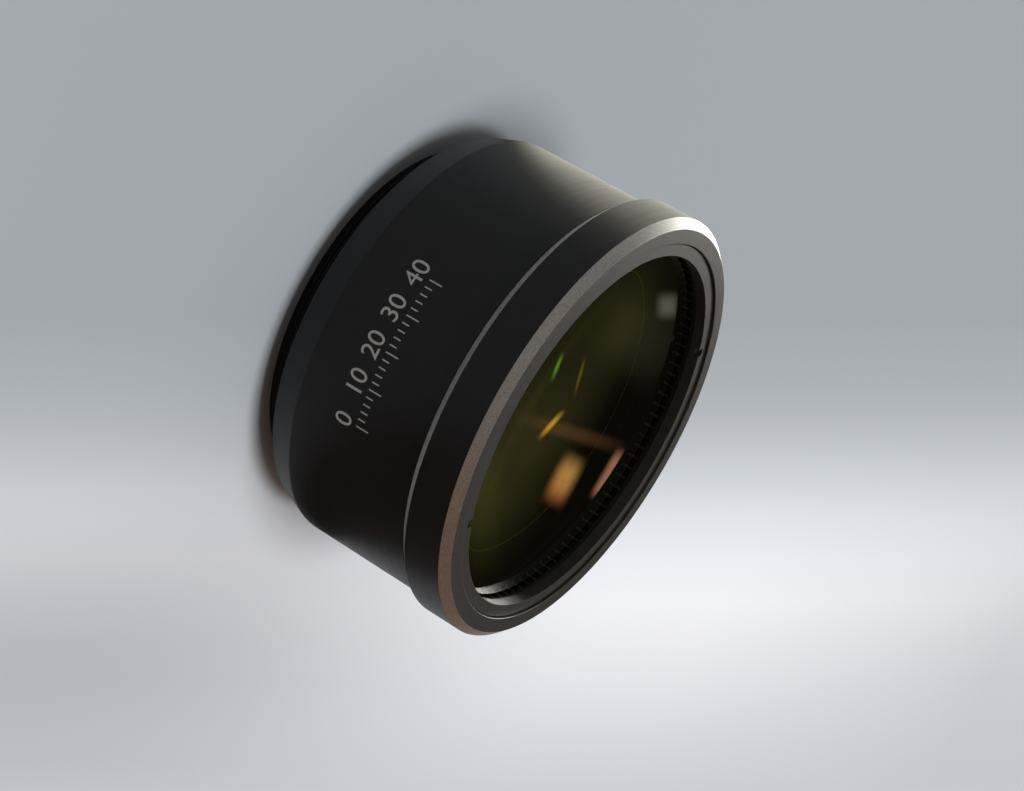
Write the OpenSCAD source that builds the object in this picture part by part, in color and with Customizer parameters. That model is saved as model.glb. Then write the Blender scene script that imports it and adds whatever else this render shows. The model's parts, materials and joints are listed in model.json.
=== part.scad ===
// Telecentric f-theta scan lens: four zinc selenide elements in a black barrel.
// Millimetres. Z is the optical axis, and z = 0 is the rear face of the threaded mount,
// where the scanned beam enters. Light leaves through the front opening at the top.

/* [Mount thread] */
// Major diameter of the rear mounting thread
mount_d = 85; // [82:0.5:90]
// Length of the rear mounting boss
mount_l = 6; // [4:0.5:9]
// Chamfer at the start of the rear thread
mount_chamfer = 0.8; // [0.4:0.1:1.2]
// Width of the countersink round the rear opening
mouth_flare = 1.5; // [0.5:0.1:2]

/* [Housing] */
// Length of the taper in front of the mount shoulder
taper_l = 7; // [4:0.5:10]
// Taper angle from the axis
taper_angle = 20; // [10:1:25]
// Wall of the barrel round the front cell's thread
barrel_wall = 1.9; // [1.5:0.1:4]
// Wall of the front cell round the front lens
cell_wall = 1.9; // [1.5:0.1:4]
// How far the front cell stands proud of the barrel, also its chamfer
flange_step = 2; // [1.5:0.1:3]
// Length of the front cell that shows
cell_l = 13; // [11.5:0.5:15]
// Length of the cell's threaded spigot inside the barrel
spigot_l = 9.5; // [8:0.1:10]
// Thickness of the lip that carries the rear lens
lip_t = 2.15; // [1.8:0.05:3]

/* [Lens 1, next to the scanner] */
// Diameter of lens 1
lens_1_d = 58; // [54:0.5:60]
// Rear surface radius, hollow towards the scanner
lens_1_rear_radius = 44; // [40:0.5:60]
// Front surface radius
lens_1_front_radius = 58; // [52:0.5:70]
// Centre thickness of lens 1
lens_1_t = 5.5; // [5:0.1:7]

/* [Lens 2] */
// Diameter of lens 2
lens_2_d = 70; // [67:0.5:73]
// Rear surface radius, hollow towards the scanner
lens_2_rear_radius = 146; // [130:1:160]
// Front surface radius
lens_2_front_radius = 90; // [85:1:110]
// Centre thickness of lens 2
lens_2_t = 5; // [4.8:0.1:7]

/* [Lens 3] */
// Diameter of lens 3
lens_3_d = 78; // [76:0.5:80]
// Rear surface radius, hollow towards the scanner
lens_3_rear_radius = 180; // [160:1:220]
// Front surface radius
lens_3_front_radius = 120; // [110:1:140]
// Centre thickness of lens 3
lens_3_t = 5.5; // [5:0.1:7]

/* [Lens 4, the large front lens] */
// Diameter of lens 4
lens_4_d = 90; // [88:0.5:96]
// Rear surface radius, domed towards the scanner; the front is flat
lens_4_rear_radius = 222; // [180:1:260]
// Centre thickness of lens 4
lens_4_t = 15; // [14:0.1:17]

/* [Air gaps on the axis] */
// Between lenses 1 and 2
gap_12 = 4.5; // [4:0.1:6]
// Between lenses 2 and 3
gap_23 = 2; // [1.5:0.1:3]
// Between lenses 3 and 4
gap_34 = 4; // [3.5:0.1:6]

/* [Retaining rings] */
// Flat ground margin at the rim of each lens
lens_land = 1.5; // [1.2:0.1:2]
// Thickness of the front retaining ring
front_ring_t = 2.65; // [2.2:0.05:4]
// How far the front retaining ring sits below the front face
front_ring_recess = 0.6; // [0.2:0.05:1.5]
// Clear opening of the front retaining ring
front_opening_d = 86.8; // [80:0.2:87]
// Chamfer round the front retaining ring
front_ring_chamfer = 0.2; // [0.1:0.05:0.8]
// Thickness of the two inner retaining rings
inner_ring_t = 3.2; // [2.5:0.1:3.4]
// Width of the spanner notches in every ring
notch_w = 2; // [1.4:0.1:3]
// Depth of the spanner notches along the axis
notch_depth = 1.3; // [0.8:0.1:1.8]
// Radial reach of the spanner notches from the ring's bore
notch_reach = 1.4; // [0.8:0.1:1.6]
// Angle of the notches in the front ring
notch_angle = 131; // [0:1:180]
// How far a ring's thread stands outside the lens that it holds
ring_thread_step = 1; // [0.6:0.1:1.5]

/* [Seals, washers and stop] */
// Thickness of the rubber gasket on the front lens
gasket_t = 1.25; // [0.8:0.05:2]
// How far the gasket's bore lies outside the ring's opening
gasket_setback = 0.7; // [0.4:0.1:1]
// Thickness of the plastic washers on the lens margins
washer_t = 0.2; // [0.1:0.05:0.5]
// How far a washer's bore lies outside the polished surface
washer_setback = 0.2; // [0.1:0.05:0.4]
// Section diameter of the cell's O-ring
o_ring_section = 1.6; // [1.2:0.1:2]
// Distance of the O-ring from the end of the spigot
o_ring_inset = 2.5; // [2:0.1:4]
// Thickness of the glare stop
stop_t = 1.5; // [1:0.1:2]
// How far the glare stop's opening clears lens 3
stop_clear = 2.5; // [1.5:0.1:3]

/* [Centring sleeve] */
// Wall of the toothed sleeve round the front lens
sleeve_t = 1; // [0.8:0.05:1.5]
// Number of long grooves, each with a short one beside it
groove_count = 51; // [24:1:60]
// Width of a groove
groove_w = 0.6; // [0.3:0.05:1]
// Depth of a groove
groove_depth = 0.55; // [0.2:0.05:0.6]
// How much shorter the short grooves are
groove_shortening = 3; // [1:0.5:5]
// Angle of the first groove
groove_phase = 2.1; // [0:0.1:7]

/* [Fits] */
// Radial clearance of a lens, washer or spacer in its bore
fit_gap = 0.05; // [0.02:0.01:0.1]
// Radial clearance that stands for a fine thread
thread_gap = 0.1; // [0.05:0.01:0.2]

/* [Hidden] */
$fn = 160;
tiny = 0.01;

// Depth of a spherical surface of the given radius out to distance r from the axis, to 0.01 mm
function sag(radius, r) = round(100 * (radius - sqrt(radius * radius - r * r))) / 100;

// Lens radii, and the radius inside each flat margin
r1 = lens_1_d / 2;
r2 = lens_2_d / 2;
r3 = lens_3_d / 2;
r4 = lens_4_d / 2;
clear_1 = r1 - lens_land;
clear_2 = r2 - lens_land;
clear_3 = r3 - lens_land;
clear_4 = r4 - lens_land;

// Heights of the lens vertices and margins, rear to front
rear_flat_1 = lip_t + washer_t;
rear_1 = rear_flat_1 + sag(lens_1_rear_radius, clear_1);
front_1 = rear_1 + lens_1_t;
front_flat_1 = front_1 - sag(lens_1_front_radius, clear_1);
rear_2 = front_1 + gap_12;
rear_flat_2 = rear_2 - sag(lens_2_rear_radius, clear_2);
front_2 = rear_2 + lens_2_t;
front_flat_2 = front_2 - sag(lens_2_front_radius, clear_2);
rear_3 = front_2 + gap_23;
rear_flat_3 = rear_3 - sag(lens_3_rear_radius, clear_3);
front_3 = rear_3 + lens_3_t;
front_flat_3 = front_3 - sag(lens_3_front_radius, clear_3);
rear_4 = front_3 + gap_34;
rear_flat_4 = rear_4 + sag(lens_4_rear_radius, clear_4);
front_4 = rear_4 + lens_4_t;

// Front end
ring_z = front_4 + gasket_t;
ring_top = ring_z + front_ring_t;
total_l = ring_top + front_ring_recess;
cell_z = total_l - cell_l;
spigot_z = cell_z - spigot_l;
stop_z = spigot_z - stop_t;
cell_seat_z = rear_flat_4 - washer_t;

// Radii of the housing, worked out from the front lens
sleeve_r = r4 + fit_gap + sleeve_t;
cell_bore_r = sleeve_r + fit_gap;
front_thread_r = cell_bore_r + 0.4;
spigot_r = cell_bore_r + cell_wall;
barrel_thread_r = spigot_r + thread_gap;
barrel_r = barrel_thread_r + barrel_wall;
flange_r = barrel_r + flange_step;
shoulder_r = barrel_r - taper_l * tan(taper_angle);
mount_r = mount_d / 2;
front_opening_r = front_opening_d / 2;

// Bores of the barrel
thread_1_r = r1 + ring_thread_step;
thread_3_r = r3 + ring_thread_step;
ring_1_z = front_flat_1 + washer_t;
ring_3_z = front_flat_3 + washer_t;
seat_2_z = rear_flat_2 - washer_t;
spacer_z = front_flat_2 + washer_t;
spacer_top = rear_flat_3 - washer_t;
spacer_step_z = (spacer_z + spacer_top) / 2;

// O-ring in the spigot
o_ring_groove_depth = o_ring_section - 2 * tiny;
o_ring_z = spigot_z + o_ring_inset;
o_ring_r = barrel_thread_r - o_ring_section / 2;

// A ring of rectangular section, or with its top outer edge broken
module ring(outer, bore, z_low, z_high, chamfer = 0) {
    rotate_extrude()
        polygon([[bore, z_low], [outer, z_low], [outer, z_high - chamfer],
                 [outer - chamfer, z_high], [bore, z_high]]);
}

// Two opposite spanner notches in the top of a ring
module notches(bore, top, angle) {
    for (turn = [0, 180])
        rotate([0, 0, angle + turn])
            translate([bore - notch_reach, -notch_w / 2, top - notch_depth])
                cube([2 * notch_reach, notch_w, 2 * notch_depth]);
}

// A meniscus, hollow towards the rear, with flat margins
module meniscus(r, land_r, rear_radius, front_radius, rear_z, front_z, rear_flat, front_flat) {
    rotate_extrude()
        difference() {
            union() {
                translate([0, rear_flat])
                    square([r, front_flat - rear_flat]);
                intersection() {
                    translate([0, front_z - front_radius])
                        circle(front_radius);
                    translate([0, front_flat])
                        square([land_r, front_z - front_flat + 1]);
                }
            }
            translate([0, rear_z - rear_radius])
                circle(rear_radius);
        }
}

// A thin plastic washer on the flat margin of a lens
module washer(outer, land_r, z_low) {
    color("#e6e2d8")
        ring(outer, land_r + washer_setback, z_low, z_low + washer_t);
}

module barrel() {
    color("#1c1b1b")
        rotate_extrude()
            polygon([
                // outside, rear to front
                [clear_1 + mouth_flare, 0],
                [mount_r - mount_chamfer, 0],
                [mount_r, mount_chamfer],
                [mount_r, mount_l],
                [shoulder_r, mount_l],
                [barrel_r, mount_l + taper_l],
                [barrel_r, cell_z],
                // inside, front to rear
                [barrel_thread_r, cell_z],
                [barrel_thread_r, stop_z],
                [thread_3_r, stop_z],
                [thread_3_r, front_flat_3],
                [r3 + fit_gap, front_flat_3],
                [r3 + fit_gap, spacer_step_z],
                [r2 + fit_gap, spacer_step_z],
                [r2 + fit_gap, seat_2_z],
                [clear_2, seat_2_z],
                [clear_2, ring_1_z + inner_ring_t],
                [thread_1_r, ring_1_z + inner_ring_t],
                [thread_1_r, front_flat_1],
                [r1 + fit_gap, front_flat_1],
                [r1 + fit_gap, lip_t],
                [clear_1, lip_t],
                [clear_1, mouth_flare]
            ]);
}

module front_cell() {
    color("#201f1f")
        rotate_extrude()
            difference() {
                polygon([
                    // outside, rear to front
                    [clear_4, spigot_z],
                    [spigot_r - 0.5, spigot_z],
                    [spigot_r, spigot_z + 0.5],
                    [spigot_r, cell_z],
                    [barrel_r, cell_z],
                    [flange_r, cell_z + flange_step],
                    [flange_r, total_l - flange_step],
                    [flange_r - flange_step, total_l],
                    // inside, front to rear
                    [front_thread_r, total_l],
                    [front_thread_r, ring_z - 0.5],
                    [cell_bore_r, ring_z - 0.5],
                    [cell_bore_r, cell_seat_z],
                    [clear_4, cell_seat_z]
                ]);
                translate([spigot_r - o_ring_groove_depth, o_ring_z - o_ring_section / 2 - tiny])
                    square([o_ring_section, o_ring_section + 2 * tiny]);
            }
}

module front_retaining_ring() {
    color("#3a3838")
        difference() {
            ring(front_thread_r - thread_gap, front_opening_r, ring_z, ring_top, front_ring_chamfer);
            notches(front_opening_r, ring_top, notch_angle);
        }
}

module front_gasket() {
    color("#101010")
        ring(sleeve_r, front_opening_r + gasket_setback, front_4, ring_z);
}

module lens_4() {
    color("#8a7a1e", 0.5)
        rotate_extrude()
            union() {
                translate([0, rear_flat_4])
                    square([r4, front_4 - rear_flat_4]);
                intersection() {
                    translate([0, rear_4 + lens_4_rear_radius])
                        circle(lens_4_rear_radius);
                    translate([0, rear_4 - 1])
                        square([clear_4, rear_flat_4 - rear_4 + 1]);
                }
            }
}

// Sleeve with axial grooves in its bore, which let it give as it centres the lens
module centring_sleeve() {
    bore = r4 + fit_gap;
    low = cell_seat_z;
    high = front_4;
    color("#1a1812")
        difference() {
            ring(sleeve_r, bore, low, high);
            for (i = [0 : groove_count - 1])
                rotate([0, 0, groove_phase + i * 360 / groove_count])
                    translate([bore - groove_depth, -groove_w / 2, low - 1])
                        cube([2 * groove_depth, groove_w, high - low + 2]);
            for (i = [0 : groove_count - 1])
                rotate([0, 0, groove_phase + (i + 0.5) * 360 / groove_count])
                    translate([bore - groove_depth, -groove_w / 2, low - 1])
                        cube([2 * groove_depth, groove_w, high - low + 1 - groove_shortening]);
        }
}

module lens_4_seat_washer() {
    washer(r4, clear_4, cell_seat_z);
}

module cell_o_ring() {
    color("#0c0c0c")
        translate([0, 0, o_ring_z])
            rotate_extrude()
                translate([o_ring_r, 0])
                    circle(o_ring_section / 2 - tiny);
}

// Knife-edged stop that the spigot clamps against the barrel
module glare_stop() {
    color("#141414")
        rotate_extrude()
            polygon([
                [r3 + stop_clear, stop_z],
                [barrel_thread_r - fit_gap, stop_z],
                [barrel_thread_r - fit_gap, spigot_z],
                [r3 + stop_clear + stop_t / 2, spigot_z],
                [r3 + stop_clear, stop_z + stop_t / 3]
            ]);
}

module lens_3_retaining_ring() {
    top = ring_3_z + inner_ring_t;
    color("#2a2828")
        difference() {
            ring(thread_3_r - thread_gap, clear_3, ring_3_z, top);
            notches(clear_3, top, 0);
        }
}

module lens_3_front_washer() {
    washer(r3, clear_3, front_flat_3);
}

module lens_3_rear_washer() {
    washer(r3, clear_3, spacer_top);
}

module lens_3() {
    color("#8a7a1e", 0.5)
        meniscus(r3, clear_3, lens_3_rear_radius, lens_3_front_radius,
                 rear_3, front_3, rear_flat_3, front_flat_3);
}

// Stepped spacer: its foot stands on lens 2 and its wider head carries lens 3
module spacer_2_3() {
    color("#1c1b1b")
        rotate_extrude()
            polygon([
                [clear_2, spacer_z],
                [r2, spacer_z],
                [r2, spacer_step_z],
                [r3, spacer_step_z],
                [r3, spacer_top],
                [clear_3, spacer_top],
                [clear_2, spacer_step_z]
            ]);
}

module lens_2() {
    color("#8a7a1e", 0.5)
        meniscus(r2, clear_2, lens_2_rear_radius, lens_2_front_radius,
                 rear_2, front_2, rear_flat_2, front_flat_2);
}

module lens_2_front_washer() {
    washer(r2, clear_2, front_flat_2);
}

module lens_2_rear_washer() {
    washer(r2, clear_2, seat_2_z);
}

module lens_1_retaining_ring() {
    top = ring_1_z + inner_ring_t;
    color("#2a2828")
        difference() {
            ring(thread_1_r - thread_gap, clear_1, ring_1_z, top);
            notches(clear_1, top, 90);
        }
}

module lens_1_front_washer() {
    washer(r1, clear_1, front_flat_1);
}

module lens_1() {
    color("#8a7a1e", 0.5)
        meniscus(r1, clear_1, lens_1_rear_radius, lens_1_front_radius,
                 rear_1, front_1, rear_flat_1, front_flat_1);
}

module lens_1_rear_washer() {
    washer(r1, clear_1, lip_t);
}

barrel();
front_cell();
front_retaining_ring();
front_gasket();
lens_4();
centring_sleeve();
lens_4_seat_washer();
cell_o_ring();
glare_stop();
lens_3_retaining_ring();
lens_3_front_washer();
lens_3();
lens_3_rear_washer();
spacer_2_3();
lens_2_front_washer();
lens_2();
lens_2_rear_washer();
lens_1_retaining_ring();
lens_1_front_washer();
lens_1();
lens_1_rear_washer();
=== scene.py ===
"""An f-theta scan lens: a turned, black anodised housing round four zinc selenide lenses.

The file is laid out as an add-on. Each operator builds one piece, or one group of like pieces,
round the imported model, and the panel in the 3D view's sidebar lists them. Lengths are in metres.
"""

import json
import math

import bmesh
import bpy
from bpy.props import FloatProperty, FloatVectorProperty, IntProperty, PointerProperty
from mathutils import Matrix, Quaternion, Vector


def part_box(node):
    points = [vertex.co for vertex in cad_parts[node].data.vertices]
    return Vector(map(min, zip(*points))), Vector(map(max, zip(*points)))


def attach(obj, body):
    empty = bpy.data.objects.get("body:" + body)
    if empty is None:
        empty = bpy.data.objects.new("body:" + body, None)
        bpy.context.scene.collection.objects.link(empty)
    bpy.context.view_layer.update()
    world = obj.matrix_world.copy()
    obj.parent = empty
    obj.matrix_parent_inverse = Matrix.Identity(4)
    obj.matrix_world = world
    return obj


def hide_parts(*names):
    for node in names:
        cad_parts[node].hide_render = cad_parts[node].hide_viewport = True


bl_info = {
    "name": "F-theta scan lens",
    "version": (1, 0, 0),
    "blender": (4, 5, 0),
    "location": "View3D > Sidebar > Scan lens",
    "description": "Builds the finished look of an f-theta scan lens round its packed model",
    "category": "Object",
}

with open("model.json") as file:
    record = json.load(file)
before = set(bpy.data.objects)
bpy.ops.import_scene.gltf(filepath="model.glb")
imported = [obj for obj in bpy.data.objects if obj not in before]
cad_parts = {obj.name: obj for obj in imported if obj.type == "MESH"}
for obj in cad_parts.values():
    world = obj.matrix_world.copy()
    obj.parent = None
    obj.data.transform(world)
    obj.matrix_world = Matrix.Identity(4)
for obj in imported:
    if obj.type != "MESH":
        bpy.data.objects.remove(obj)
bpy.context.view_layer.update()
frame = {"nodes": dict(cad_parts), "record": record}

MM = 0.001
BODY = "root"

# The grooves in the centring sleeve's bore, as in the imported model
SLEEVE_GROOVES = 51
SLEEVE_GROOVE_WIDTH = 0.6 * MM
SLEEVE_PHASE = math.radians(2.1)
SLEEVE_SHORTENING = 3 * MM

# Two points of the frame closer than this are the same point.
SAME = 0.004 * MM
# Vertices of a made mesh closer than this are merged.
WELD = 0.001 * MM
# An outline that turns by less than this runs straight on.
STRAIGHT = math.radians(2)
# How far a lens's seat is lifted off its washer, so that the two faces don't lie in one plane
SEAT_LIFT = 0.02 * MM

# A rounded corner: its faces, the most of an edge that it may take, and where the holding point
# beside it lies, in shares of its reach
CORNER_STEPS = 3
CORNER_SHARE = 1 / 3
HOLD = 1.3

# The barrel is matt black inside: above its countersink, and this far inside the thread's root.
BLACK_ABOVE = 2 * MM
BLACK_WITHIN = 4 * MM
# The front cell's face is satin to just inside its bore, and the bore is matt black below it.
FACE_OVERLAP = 1 * MM
BORE_SKIN = 0.3 * MM
# A lens's rim is blackened this many chamfers inwards, which takes in a sliver of its margins. The
# front lens's seat is black too, with a little of the surface inside it.
RIM_CHAMFERS = 1.75
SEAT_OVERLAP = 1 * MM

# Painted highlight on the outer edge of lens 3's ring: its width, its soft border, and its tone
# against a chamfer's
GLINT_WIDTH = 0.4 * MM
GLINT_BLUR = 0.1 * MM
GLINT_LIGHTER = 1.3
# How soft the painted light of a groove is at its sides on the front lens's rim, in shares of half
# its width, and at its end
GROOVE_BLUR = 0.2
GROOVE_END_BLUR = 0.1 * MM

# The clocking scale: the bearing of its zero, how high its ticks and numbers stand on the barrel,
# and its last number and its steps in degrees
SCALE_ZERO = math.radians(298)
SCALE_TICK_HEIGHT = 28.6 * MM
SCALE_NUMBER_HEIGHT = 27.2 * MM
SCALE_END = 40
SCALE_NUMBER_STEP = 10
SCALE_TICK_STEP = 2
# A figure is about this share of its text size tall.
FIGURE_SHARE = 0.7


# ---- Colours ----


def linear(hex_colour):
    """The linear RGB of an sRGB hex colour such as "#1c1a19"."""
    channels = [int(hex_colour[i : i + 2], 16) / 255 for i in (1, 3, 5)]
    return tuple(c / 12.92 if c <= 0.04045 else ((c + 0.055) / 1.055) ** 2.4 for c in channels)


def opaque(colour):
    """A colour as the four numbers that a node's colour socket takes."""
    return (*colour[:3], 1.0)


# ---- What the frame says ----


def radius_and_height(point):
    """A point's distance from the optical axis, and its height along it."""
    return math.hypot(point[0], point[1]), point[2]


def corners_of(node):
    """The closed outline of a turned CAD node: its (radius, height) corners, clockwise."""
    mesh = frame["nodes"][node].data
    corners, index = [], {}
    for vertex in mesh.vertices:
        point = radius_and_height(vertex.co)
        near = [i for i, known in enumerate(corners) if math.dist(point, known) < SAME]
        if not near:
            corners.append(point)
        index[vertex.index] = near[0] if near else len(corners) - 1
    neighbours = {i: set() for i in range(len(corners))}
    for edge in mesh.edges:
        a, b = (index[v] for v in edge.vertices)
        if a != b:
            neighbours[a].add(b)
            neighbours[b].add(a)
    if any(len(near) != 2 for near in neighbours.values()):
        raise RuntimeError(f"{node} is not a plain turned part")
    route = [0, min(neighbours[0])]
    while len(route) < len(corners):
        route.append((neighbours[route[-1]] - {route[-2]}).pop())
    outline = [corners[i] for i in route]
    sides = zip(outline, outline[1:] + outline[:1])
    doubled_area = sum(a[0] * b[1] - b[0] * a[1] for a, b in sides)
    outline = outline if doubled_area < 0 else outline[::-1]
    return [
        corner
        for i, corner in enumerate(outline)
        if turn_at(outline[i - 1], corner, outline[(i + 1) % len(outline)]) > STRAIGHT
    ]


def lens_values(node):
    """A lens's rim and clear radius, and the heights of its rear and front vertex and margins."""
    points = [radius_and_height(vertex.co) for vertex in frame["nodes"][node].data.vertices]
    rim = max(r for r, z in points)
    rim_heights = [z for r, z in points if r > rim - SAME]
    rear_margin, front_margin = min(rim_heights), max(rim_heights)
    clear = max(r for r, z in points if r < rim - SAME and abs(z - rear_margin) < SAME)
    rear_vertex = min(z for r, z in points if r < SAME)
    front_vertex = max(z for r, z in points)
    return rim, clear, rear_vertex, front_vertex, rear_margin, front_margin


# ---- Outlines of turned parts ----

def turn_at(before, corner, after):
    """The angle that the outline turns through at a corner."""
    return (Vector(corner) - Vector(before)).angle(Vector(after) - Vector(corner))


def eased(outline, reach):
    """The outline with its corners rounded over a reach, and a holding point beside each."""
    result = []
    for i, corner in enumerate(outline):
        here = Vector(corner)
        back = Vector(outline[i - 1]) - here
        ahead = Vector(outline[(i + 1) % len(outline)]) - here
        room = min(reach, back.length * CORNER_SHARE, ahead.length * CORNER_SHARE)
        back = back.normalized() * room
        ahead = ahead.normalized() * room
        result.append(here + back * HOLD)
        for k in range(CORNER_STEPS + 1):
            t = k / CORNER_STEPS
            result.append(here + back * (1 - t) ** 2 + ahead * t**2)
        result.append(here + ahead * HOLD)
    return [tuple(point) for point in result]


def surface_points(vertex, margin, clear, rings):
    """Points of a spherical or flat lens surface from the axis out to its margin."""
    depth = margin - vertex
    radii = [clear * k / rings for k in range(rings + 1)]
    if abs(depth) < SAME:
        return [(r, vertex) for r in radii]
    radius = (clear**2 + depth**2) / (2 * depth)
    middle = vertex + radius
    return [(r, middle - math.copysign(math.sqrt(radius**2 - r**2), radius)) for r in radii]


def lens_outline(node, chamfer, rings):
    """A lens's outline from the middle of its front, round the rim, to the middle of its rear."""
    rim, clear, rear_vertex, front_vertex, rear_margin, front_margin = lens_values(node)
    front = surface_points(front_vertex, front_margin, clear, rings)
    rear = surface_points(rear_vertex, rear_margin, clear, rings)
    edge = [
        (rim - 2 * chamfer, front_margin),
        (rim - chamfer, front_margin),
        (rim, front_margin - chamfer),
        (rim, front_margin - 2 * chamfer),
        (rim, rear_margin + 2 * chamfer),
        (rim, rear_margin + chamfer),
        (rim - chamfer, rear_margin + SEAT_LIFT),
        (rim - 2 * chamfer, rear_margin + SEAT_LIFT),
    ]
    return front + edge + rear[::-1]


# ---- Node trees ----


def feed(tree, node, inputs):
    """Gives each of a node's inputs a value, or the node or socket that it follows."""
    for key, value in inputs.items():
        if isinstance(value, bpy.types.Node):
            value = next(output for output in value.outputs if output.enabled)
        if isinstance(value, bpy.types.NodeSocket):
            tree.links.new(value, node.inputs[key])
        else:
            node.inputs[key].default_value = value


def add(tree, kind, inputs=None, **settings):
    """Adds a node with its settings and its inputs, by name or number."""
    made = tree.nodes.new(kind)
    for name, value in settings.items():
        setattr(made, name, value)
    feed(tree, made, inputs or {})
    return made


def geometry_tree(name, sockets):
    """A Geometry Nodes tree with named inputs, what they give, and the identifier of each."""
    tree = bpy.data.node_groups.new(name, "GeometryNodeTree")
    tree.interface.new_socket("Geometry", in_out="INPUT", socket_type="NodeSocketGeometry")
    tree.interface.new_socket("Geometry", in_out="OUTPUT", socket_type="NodeSocketGeometry")
    identifiers = {}
    for socket_name, kind in sockets.items():
        socket = tree.interface.new_socket(
            socket_name, in_out="INPUT", socket_type=f"NodeSocket{kind}"
        )
        identifiers[socket_name] = socket.identifier
    return tree, tree.nodes.new("NodeGroupInput").outputs, identifiers


def close_tree(tree, geometry, material):
    """Ends a tree in Realize Instances and Set Material."""
    real = add(tree, "GeometryNodeRealizeInstances", {"Geometry": geometry})
    painted = add(tree, "GeometryNodeSetMaterial", {"Geometry": real, "Material": material})
    add(tree, "NodeGroupOutput", {0: painted})


def turned_tree():
    """Turns an outline, given as an edge loop in the XZ plane, round the Z axis."""
    sockets = {"Segments": "Int", "Material": "Material"}
    tree, given, identifiers = geometry_tree("Turned part", sockets)
    outline = add(tree, "GeometryNodeMeshToCurve", {"Mesh": given["Geometry"]})
    # The path is a hair-thin circle, so the outline moves in by its radius.
    hair = 0.01 * MM
    moved = {"Geometry": outline, "Translation": (-hair, 0, 0), "Rotation": (math.pi / 2, 0, 0)}
    laid = add(tree, "GeometryNodeTransform", moved)
    circle = {"Resolution": given["Segments"], "Radius": hair}
    path = add(tree, "GeometryNodeCurvePrimitiveCircle", circle)
    swept = add(tree, "GeometryNodeCurveToMesh", {"Curve": path, "Profile Curve": laid})
    merged = add(tree, "GeometryNodeMergeByDistance", {"Geometry": swept, "Distance": WELD})
    smooth = add(tree, "GeometryNodeSetShadeSmooth", {"Geometry": merged})
    close_tree(tree, smooth, given["Material"])
    return tree, identifiers


# The thread's section starts as a circle of three points: a triangle this deep, with half a foot
# this wide. It is moved out by a share of the thread's depth, so that its foot just sinks in.
TRIANGLE_DEPTH = 1.5
TRIANGLE_HALF_FOOT = 0.866
FOOT_SHIFT = 0.32
# The ridge's middle is at 0 and its ends at 0.5. It fades from here on, to this share of its size.
FADE_FROM = 0.42
FADE_TO = 0.05


def thread_tree():
    """Winds a ridge of triangular section round the Z axis, which fades in and out at its ends."""
    sizes = ("Root radius", "Depth", "Pitch", "Turns", "Start")
    sockets = {**dict.fromkeys(sizes, "Float"), "Steps": "Int", "Material": "Material"}
    tree, given, identifiers = geometry_tree("Thread", sockets)
    pitch, depth, root = given["Pitch"], given["Depth"], given["Root radius"]
    length = add(tree, "ShaderNodeMath", {0: given["Turns"], 1: pitch}, operation="MULTIPLY")
    spiral = {
        "Resolution": given["Steps"],
        "Rotations": given["Turns"],
        "Start Radius": root,
        "End Radius": root,
        "Height": length,
    }
    helix = add(tree, "GeometryNodeCurveSpiral", spiral)
    upright = add(tree, "GeometryNodeSetCurveNormal", {"Curve": helix}, mode="Z_UP")
    triangle = add(tree, "GeometryNodeCurvePrimitiveCircle", {"Resolution": 3, "Radius": 1.0})
    reach = add(tree, "ShaderNodeMath", {0: depth, 1: 1 / TRIANGLE_DEPTH}, operation="MULTIPLY")
    half = 0.5 / TRIANGLE_HALF_FOOT
    spread = add(tree, "ShaderNodeMath", {0: pitch, 1: half}, operation="MULTIPLY")
    size = add(tree, "ShaderNodeCombineXYZ", {0: reach, 1: spread, 2: 1.0})
    foot = add(tree, "ShaderNodeMath", {0: depth, 1: FOOT_SHIFT}, operation="MULTIPLY")
    shift = add(tree, "ShaderNodeCombineXYZ", {0: foot})
    shaped = {"Geometry": triangle, "Translation": shift, "Scale": size}
    section = add(tree, "GeometryNodeTransform", shaped)
    along = add(tree, "GeometryNodeSplineParameter")
    from_middle = add(tree, "ShaderNodeMath", {0: along, 1: 0.5}, operation="SUBTRACT")
    distance = add(tree, "ShaderNodeMath", {0: from_middle}, operation="ABSOLUTE")
    ends = {"From Min": 0.5, "From Max": FADE_FROM, "To Min": FADE_TO, "To Max": 1.0}
    fade = add(tree, "ShaderNodeMapRange", {"Value": distance, **ends})
    sweep = {"Curve": upright, "Profile Curve": section, "Scale": fade, "Fill Caps": True}
    ridge = add(tree, "GeometryNodeCurveToMesh", sweep)
    rise = add(tree, "ShaderNodeCombineXYZ", {2: given["Start"]})
    raised = add(tree, "GeometryNodeTransform", {"Geometry": ridge, "Translation": rise})
    close_tree(tree, raised, given["Material"])
    return tree, identifiers


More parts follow.
